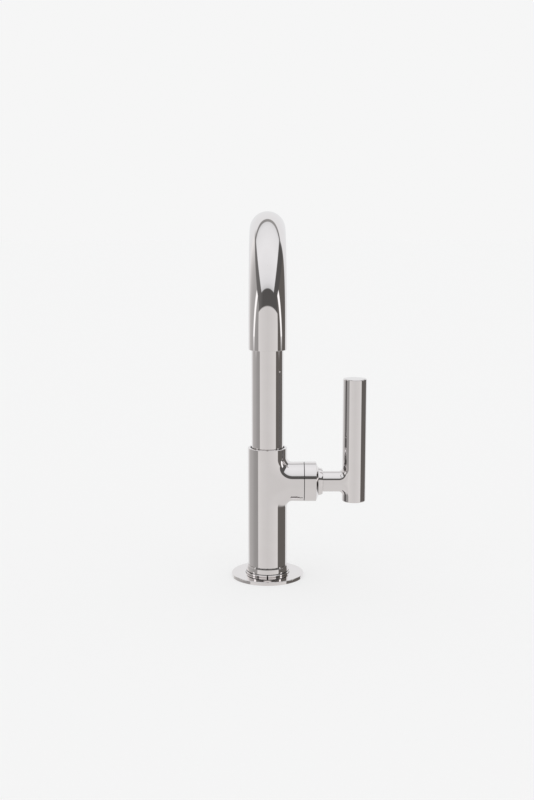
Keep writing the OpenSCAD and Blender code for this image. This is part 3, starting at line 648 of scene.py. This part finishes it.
def build_spout():
    skin = Skin()
    steps = 120
    for radius, side in ((TUBE_R, 1), (TUBE_BORE_R, -1)):
        sections = [((0.0, TUBE_FOOT_Z + TUBE_END), 0.0)]
        sections += [((-ARCH_R + ARCH_R * math.cos(t), ARCH_Z + ARCH_R * math.sin(t)), t)
                     for t in (math.pi * k / steps for k in range(steps + 1))]
        sections.append(((-2 * ARCH_R, OUTLET_Z + TUBE_END), math.pi))
        rows = []
        for (y, z), t in sections:
            row = []
            for angle in FULL_TURN:
                n = (math.cos(angle), math.sin(angle) * math.cos(t), math.sin(angle) * math.sin(t))
                place = (radius * n[0], y + radius * n[1], z + radius * n[2])
                row.append((place, tuple(side * c for c in n)))
            rows.append(row)
        skin.patch(rows)
    for y, end in ((0.0, TUBE_FOOT_Z), (-2 * ARCH_R, OUTLET_Z)):
        inside = end + TUBE_END
        runs = outline([(TUBE_R, inside), (TUBE_R, end, 0.2), (TUBE_BORE_R, end, 0.15),
                        (TUBE_BORE_R, inside)], (0.5 * (TUBE_R + TUBE_BORE_R), inside))
        turned(skin, runs, lambda r, h, n, a: ((r * math.cos(a), y + r * math.sin(a), h),
                                               (n.x * math.cos(a), n.x * math.sin(a), n.y)))
    skin.build("gooseneck", "spout", "spout_tube", MATERIALS["nickel"])


# World: a plain grey studio round the faucet, which only reflections see
def grey(level, warm=1.0):
    """Linear colour that shows as an 8-bit grey once it is reflected, with warm more red and less blue."""
    def linear(v):
        return STUDIO_GAIN * ((v / 255 + 0.055) / 1.055) ** 2.4
    return (linear(level + warm), linear(level), linear(level - warm), 1.0)


def degrees(n, operation, *values):
    return n.math("MULTIPLY", n.math(operation, *values), 180 / math.pi)


def studio_cards(n, x, front, up):
    """Colour of the studio in the direction (x, -front, up): four walls, a ceiling and a pale floor."""
    azimuth = degrees(n, "ARCTAN2", x, front)
    turn = n.math("ABSOLUTE", azimuth)
    elevation = degrees(n, "ARCSINE", up)
    aside = n.math("MAXIMUM", n.math("ABSOLUTE", x), 0.02)
    side_rise, side_run = n.math("DIVIDE", up, aside), n.math("DIVIDE", front, aside)
    front_rise = n.math("DIVIDE", up, n.math("MAXIMUM", front, 0.02))
    back_rise = n.math("DIVIDE", up, n.math("MAXIMUM", n.math("MULTIPLY", front, -1.0), 0.02))
    above = n.math("MAXIMUM", up, 0.02)
    across, along = n.math("DIVIDE", n.math("ABSOLUTE", x), above), n.math("DIVIDE", front, above)

    def below(value, edge, soft):
        return n.step(value, edge + soft, edge - soft)

    def within(value, low, high, soft):
        return n.math("MULTIPLY", n.step(value, low - soft, low + soft), below(value, high, soft))

    def both(first, second):
        return n.math("MULTIPLY", first, second)

    # Dark room behind the walls' top edges
    colour = n.ramp(azimuth, [(-180, 140), (-140, 125), (-120, 106), (-50, 96), (-30, 80), (125, 78),
                              (150, 140)])
    # Left wall, which brightens towards the back and towards its top
    shift = n.math("ADD", turn, n.math("MULTIPLY", elevation, 0.5))
    left = n.ramp(shift, [(62, 142), (76, 146), (92, 158), (112, 164), (126, 178), (138, 202), (149, 226)])
    top = n.math("SUBTRACT", side_rise, n.math("MULTIPLY", n.math("SUBTRACT", turn, 85), 0.005))
    bearing = within(azimuth, -BEHIND, LEFT_CORNER, 1.5)
    colour = n.mix(both(bearing, below(top, LEFT_TOP, 0.04)), colour, left)
    # Right wall, nearly as dark as the room
    bearing = within(azimuth, RIGHT_WALL_START, BEHIND, 1.5)
    colour = n.mix(both(bearing, below(side_rise, RIGHT_TOP, 0.05)), colour, grey(90, 3))
    # Slots of light between the front and the side walls
    slot = n.math("ABSOLUTE", n.math("SUBTRACT", side_run, n.math("MULTIPLY_ADD", side_rise, 0.57, 0.04)))
    slot = both(below(slot, 0.10, 0.03), within(side_rise, -0.10, 0.5, 0.02))
    colour = n.mix(slot, colour, grey(252, 0))
    # Back wall
    bearing = n.math("ADD", within(azimuth, BACK_FROM_RIGHT, BEHIND, 2),
                     within(azimuth, -BEHIND, BACK_FROM_LEFT, 8), clamp=True)
    colour = n.mix(both(bearing, below(back_rise, BACK_TOP, 0.04)), colour, grey(219, -1))
    # Front wall
    card = n.ramp(turn, [(0, 195), (30, 199), (60, 206)])
    bearing = within(azimuth, LEFT_CORNER, RIGHT_CORNER, 1.5)
    colour = n.mix(both(bearing, below(front_rise, FRONT_TOP, 0.02)), colour, card)
    # Ceiling
    lid = n.ramp(along, [(-0.9, 204), (-0.6, 219), (0.0, 227), (0.6, 220), (0.9, 212), (1.1, 192)], -1.5)
    span = both(below(across, CEILING_SIDE, 0.05), within(along, CEILING_BACK, CEILING_FRONT, 0.03))
    colour = n.mix(span, colour, lid)
    # Floor
    return n.mix(below(elevation, FLOOR_ELEVATION, 8), colour, grey(197, 1))


def camera_card(n, x, y, z, depth):
    """1 towards the dark camera, which shows only where a wall and a ledge form a mirror corner."""
    soft = 0.01
    beside = n.math("ABSOLUTE", x)
    card = n.math("MULTIPLY", n.step(beside, CAMERA_WIDE + soft, CAMERA_WIDE - soft), n.step(y, 0.0, -0.1))
    tall = n.math("MULTIPLY", n.step(z, CAMERA_LOW - soft, CAMERA_LOW + soft),
                  n.step(z, CAMERA_HIGH + soft, CAMERA_HIGH - soft))
    return n.math("MULTIPLY", n.math("MULTIPLY", card, tall), n.step(depth, 1.4, 1.6))


def build_world():
    world = bpy.data.worlds.new("studio")
    bpy.context.scene.world = world
    world.use_nodes = True
    n = Nodes(world.node_tree)
    coords = n.add("ShaderNodeTexCoord")
    split = n.add("ShaderNodeSeparateXYZ")
    n.link(coords.outputs["Generated"], split.inputs[0])
    x, y, z = split.outputs
    studio = studio_cards(n, x, n.math("MULTIPLY", y, -1.0), z)
    path = n.add("ShaderNodeLightPath")
    depth = path.outputs["Glossy Depth"]
    # Second reflections that look down, and all later ones, are darker
    twice = n.math("MULTIPLY", n.step(depth, 1.4, 1.6), n.step(z, 0.03, -0.03))
    again = n.math("MAXIMUM", twice, n.step(depth, 2.4, 2.6))
    dark = n.math("MAXIMUM", n.math("MULTIPLY", again, TWICE_SEEN), camera_card(n, x, y, z, depth))
    studio = n.mix(dark, studio, (0.0, 0.0, 0.0, 1.0))
    seen = n.mix(path.outputs["Is Diffuse Ray"], studio, (1.0, 1.0, 1.0, 1.0))
    seen = n.mix(path.outputs["Is Camera Ray"], seen, (BACKDROP, BACKDROP, BACKDROP, 1.0))
    background = n.add("ShaderNodeBackground")
    n.link(seen, background.inputs["Color"])
    output = n.add("ShaderNodeOutputWorld")
    n.link(background.outputs[0], output.inputs["Surface"])


def build_camera():
    data = bpy.data.cameras.new("camera")
    data.sensor_width = SENSOR_MM
    data.lens = FOCAL_PX / IMAGE_LONG_SIDE * SENSOR_MM
    camera = bpy.data.objects.new("camera", data)
    bpy.context.scene.collection.objects.link(camera)
    camera.location = CAMERA_PLACE
    camera.rotation_euler = (math.radians(90 - CAMERA_PITCH), 0.0, 0.0)
    bpy.context.scene.camera = camera


def build_floor():
    """Pale floor. Part of its tone is a constant for the camera, so the shadow on it stays faint."""
    size = 30.0
    mesh = bpy.data.meshes.new("floor")
    corners = [(-size, -size, 0), (size, -size, 0), (size, size, 0), (-size, size, 0)]
    mesh.from_pydata(corners, [], [(0, 1, 2, 3)])
    floor = bpy.data.objects.new("floor", mesh)
    bpy.context.scene.collection.objects.link(floor)
    floor.visible_glossy = False
    material = bpy.data.materials.new("floor")
    material.use_nodes = True
    n = Nodes(material.node_tree)
    diffuse = n.add("ShaderNodeBsdfDiffuse")
    diffuse.inputs["Color"].default_value = (0.95, 0.95, 0.95, 1.0)
    pale = n.add("ShaderNodeEmission")
    pale.inputs["Color"].default_value = (BACKDROP, BACKDROP, BACKDROP, 1.0)
    path = n.add("ShaderNodeLightPath")
    mixed = n.add("ShaderNodeMixShader")
    n.link(n.math("MULTIPLY", path.outputs["Is Camera Ray"], 0.6), mixed.inputs[0])
    n.link(diffuse.outputs[0], mixed.inputs[1])
    n.link(pale.outputs[0], mixed.inputs[2])
    output = n.add("ShaderNodeOutputMaterial")
    n.link(mixed.outputs[0], output.inputs["Surface"])
    mesh.materials.append(material)


bpy.context.scene.view_settings.view_transform = "Standard"
build_world()
build_camera()
build_floor()
dress_cad_nodes()
build_flange()
build_ring()
build_body()
build_bonnet()
build_ball()
build_lever()
build_spout()
